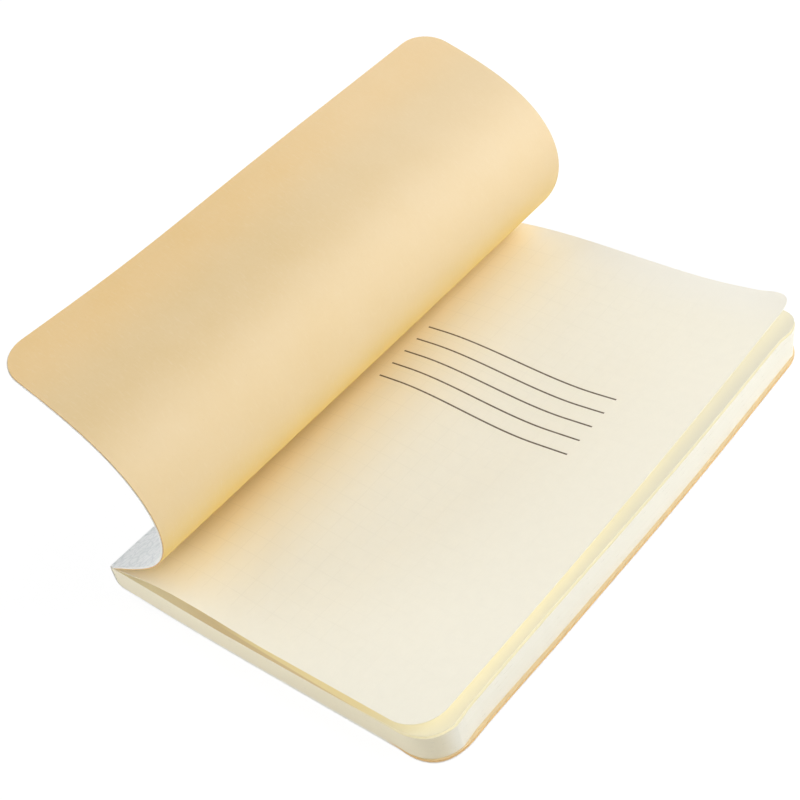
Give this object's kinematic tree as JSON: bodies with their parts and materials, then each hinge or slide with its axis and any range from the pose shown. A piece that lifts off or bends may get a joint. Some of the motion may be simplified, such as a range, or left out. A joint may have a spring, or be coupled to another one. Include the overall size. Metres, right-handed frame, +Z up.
{
  "type": "notebook",
  "caption": "Thin sewn soft-cover notebook lying on its back cover, with rounded fore-edge corners, its front cover curling open and its first leaf sprung up.",
  "frame": {"origin": "middle of the flat face that the notebook rests on, the outside of its back cover, halfway between the spine crease and the fore-edge", "axes": "+X from the spine to the fore-edge, +Y along the spine towards the head of the page, +Z up"},
  "size_m": [0.1081, 0.1486, 0.0749],
  "materials": {
    "cream_paper": "matt uncoated paper",
    "kraft_paper": "matt kraft paper",
    "grey_linen_paper": "matt embossed cover paper",
    "white_cloth": "woven cloth",
    "linen_thread": "twisted thread"
  },
  "bodies": {
    "book": {"back_cover_skin": "grey_linen_paper", "back_lining": "kraft_paper", "section_1": "cream_paper", "section_2": "cream_paper", "section_3": "cream_paper", "section_4": "cream_paper", "section_5": "cream_paper", "spine_cloth": "white_cloth", "sewing_thread": "linen_thread"},
    "second_leaf": {"second_leaf": "cream_paper"},
    "first_leaf_1": {"first_leaf_1": "cream_paper"},
    "first_leaf_2": {"first_leaf_2": "cream_paper"},
    "first_leaf_3": {"first_leaf_3": "cream_paper"},
    "first_leaf_4": {"first_leaf_4": "cream_paper"},
    "first_leaf_5": {"first_leaf_5": "cream_paper"},
    "first_leaf_6": {"first_leaf_6": "cream_paper"},
    "front_cover_1": {"front_skin_1": "grey_linen_paper", "front_lining_1": "kraft_paper"},
    "front_cover_2": {"front_skin_2": "grey_linen_paper", "front_lining_2": "kraft_paper"},
    "front_cover_3": {"front_skin_3": "grey_linen_paper", "front_lining_3": "kraft_paper"},
    "front_cover_4": {"front_skin_4": "grey_linen_paper", "front_lining_4": "kraft_paper"},
    "front_cover_5": {"front_skin_5": "grey_linen_paper", "front_lining_5": "kraft_paper"},
    "front_cover_6": {"front_skin_6": "grey_linen_paper", "front_lining_6": "kraft_paper"},
    "front_cover_7": {"front_skin_7": "grey_linen_paper", "front_lining_7": "kraft_paper"}
  },
  "joints": [
    {"name": "first_leaf_turn", "type": "hinge", "parent": "book", "child": "first_leaf_1", "pos_m": [-0.0523, 0, 0.01029], "axis": [0, -1, 0], "range_deg": [0, 95]},
    {"name": "second_leaf_turn", "type": "hinge", "parent": "book", "child": "second_leaf", "pos_m": [-0.0523, 0, 0.00876], "axis": [0, -1, 0], "range_deg": [0, 42.75]},
    {"name": "front_cover_closing", "type": "hinge", "parent": "first_leaf_1", "child": "front_cover_1", "pos_m": [-0.0523, 0, 0.01029], "axis": [0, -1, 0], "range_deg": [-25, 0], "stiffness_Nm_per_rad": 0.03},
    {"name": "front_cover_opening", "type": "hinge", "parent": "front_cover_1", "child": "front_cover_2", "pos_m": [-0.04898, 0, 0.01186], "axis": [0, -1, 0], "range_deg": [0, 95]},
    {"name": "front_cover_bend_1", "type": "hinge", "parent": "front_cover_2", "child": "front_cover_3", "pos_m": [-0.02475, 0, 0.02652], "axis": [0, -1, 0], "range_deg": [-26.6, 0]},
    {"name": "front_cover_bend_2", "type": "hinge", "parent": "front_cover_3", "child": "front_cover_4", "pos_m": [-0.01913, 0, 0.03508], "axis": [0, -1, 0], "range_deg": [-26.6, 0]},
    {"name": "front_cover_bend_3", "type": "hinge", "parent": "front_cover_4", "child": "front_cover_5", "pos_m": [-0.01774, 0, 0.04283], "axis": [0, -1, 0], "range_deg": [-26.6, 0]},
    {"name": "front_cover_bend_4", "type": "hinge", "parent": "front_cover_5", "child": "front_cover_6", "pos_m": [-0.01948, 0, 0.05051], "axis": [0, -1, 0], "range_deg": [-26.6, 0]},
    {"name": "front_cover_bend_5", "type": "hinge", "parent": "front_cover_6", "child": "front_cover_7", "pos_m": [-0.0255, 0, 0.05884], "axis": [0, -1, 0], "range_deg": [-26.6, 0]},
    {"name": "first_leaf_bend_1", "type": "hinge", "parent": "first_leaf_1", "child": "first_leaf_2", "pos_m": [-0.0493, 0, 0.00918], "axis": [0, -1, 0], "range_deg": [-26.4, 0]},
    {"name": "first_leaf_bend_2", "type": "hinge", "parent": "first_leaf_2", "child": "first_leaf_3", "pos_m": [-0.0393, 0, 0.01368], "axis": [0, -1, 0], "range_deg": [0, 15.1]},
    {"name": "first_leaf_bend_3", "type": "hinge", "parent": "first_leaf_3", "child": "first_leaf_4", "pos_m": [-0.0273, 0, 0.01538], "axis": [0, -1, 0], "range_deg": [0, 17.2]},
    {"name": "first_leaf_bend_4", "type": "hinge", "parent": "first_leaf_4", "child": "first_leaf_5", "pos_m": [-0.0023, 0, 0.01236], "axis": [0, -1, 0], "range_deg": [0, 2.6]},
    {"name": "first_leaf_bend_5", "type": "hinge", "parent": "first_leaf_5", "child": "first_leaf_6", "pos_m": [0.0237, 0, 0.0097], "axis": [0, -1, 0], "range_deg": [-11.2, 0]}
  ],
  "couplings": [
    {"joint": "second_leaf_turn", "follows": "first_leaf_turn", "ratio": 0.45},
    {"joint": "front_cover_bend_1", "follows": "front_cover_closing", "ratio": 1.064},
    {"joint": "front_cover_bend_2", "follows": "front_cover_closing", "ratio": 1.064},
    {"joint": "front_cover_bend_3", "follows": "front_cover_closing", "ratio": 1.064},
    {"joint": "front_cover_bend_4", "follows": "front_cover_closing", "ratio": 1.064},
    {"joint": "front_cover_bend_5", "follows": "front_cover_closing", "ratio": 1.064},
    {"joint": "first_leaf_bend_1", "follows": "front_cover_closing", "ratio": 1.056},
    {"joint": "first_leaf_bend_2", "follows": "front_cover_closing", "ratio": -0.604},
    {"joint": "first_leaf_bend_3", "follows": "front_cover_closing", "ratio": -0.688},
    {"joint": "first_leaf_bend_4", "follows": "front_cover_closing", "ratio": -0.104},
    {"joint": "first_leaf_bend_5", "follows": "front_cover_closing", "ratio": 0.448}
  ]
}
